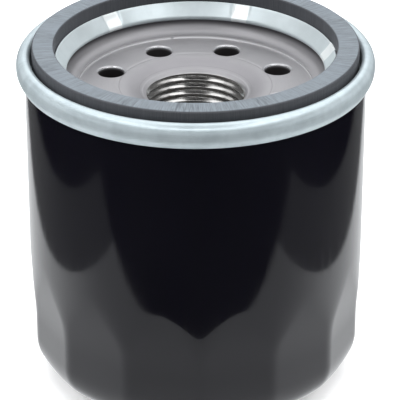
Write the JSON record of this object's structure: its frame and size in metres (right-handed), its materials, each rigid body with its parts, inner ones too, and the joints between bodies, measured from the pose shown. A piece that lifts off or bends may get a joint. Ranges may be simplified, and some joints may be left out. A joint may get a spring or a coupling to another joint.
{
  "type": "spin-on oil filter",
  "caption": "Spin-on engine oil filter: fluted black can, galvanised seamed cover, crimped rubber gasket, dished plate with oil inlets round a threaded hole.",
  "frame": {"origin": "centre of the closed end's standing face, on the filter's axis", "axes": "+Z along the filter's axis, out of the threaded hole; the gasket's sealing face is the highest point"},
  "size_m": [0.068, 0.068, 0.0685],
  "materials": {
    "black_enamel": "gloss",
    "galvanised_sheet": "satin",
    "sealing_compound": "matte",
    "pressed_steel": "satin",
    "weld_steel": "matte",
    "gasket_rubber": "satin",
    "valve_rubber": "satin",
    "tinned_steel": "satin",
    "plastisol": "satin",
    "filter_paper": "matte",
    "tube_steel": "satin",
    "yellow_zinc": "satin",
    "poppet_nylon": "satin",
    "seal_rubber": "matte",
    "spring_steel": "satin"
  },
  "bodies": {
    "housing": {"can": "black_enamel", "seam_cover": "galvanised_sheet", "seam_sealant": "sealing_compound", "base_plate": "pressed_steel", "cover_welds": "weld_steel", "gasket": "gasket_rubber", "element_spring": "spring_steel"},
    "drainback_flap": {"drainback_valve": "valve_rubber"},
    "element": {"top_end_cap": "tinned_steel", "top_adhesive": "plastisol", "pleated_paper": "filter_paper", "pleat_clip": "tinned_steel", "centre_tube": "tube_steel", "bottom_adhesive": "plastisol", "bottom_end_cap": "tinned_steel", "bypass_seat": "yellow_zinc", "bypass_cage": "tinned_steel", "bypass_spring": "spring_steel"},
    "bypass_valve": {"bypass_poppet": "poppet_nylon", "bypass_seal": "seal_rubber"}
  },
  "joints": [
    {"name": "drainback_lift", "type": "slide", "parent": "housing", "child": "drainback_flap", "axis": [0, 0, -1], "range_m": [0, 0.0012], "stiffness_N_per_m": 600, "springref_m": -0.0002, "deforming": ["drainback_valve"]},
    {"name": "element_float", "type": "slide", "parent": "housing", "child": "element", "axis": [0, 0, -1], "range_m": [0, 0.0015], "stiffness_N_per_m": 9000, "springref_m": -0.005, "deforming": ["element_spring"]},
    {"name": "bypass_lift", "type": "slide", "parent": "element", "child": "bypass_valve", "axis": [0, 0, 1], "range_m": [0, 0.003], "stiffness_N_per_m": 1200, "springref_m": -0.006, "deforming": ["bypass_spring"]}
  ]
}
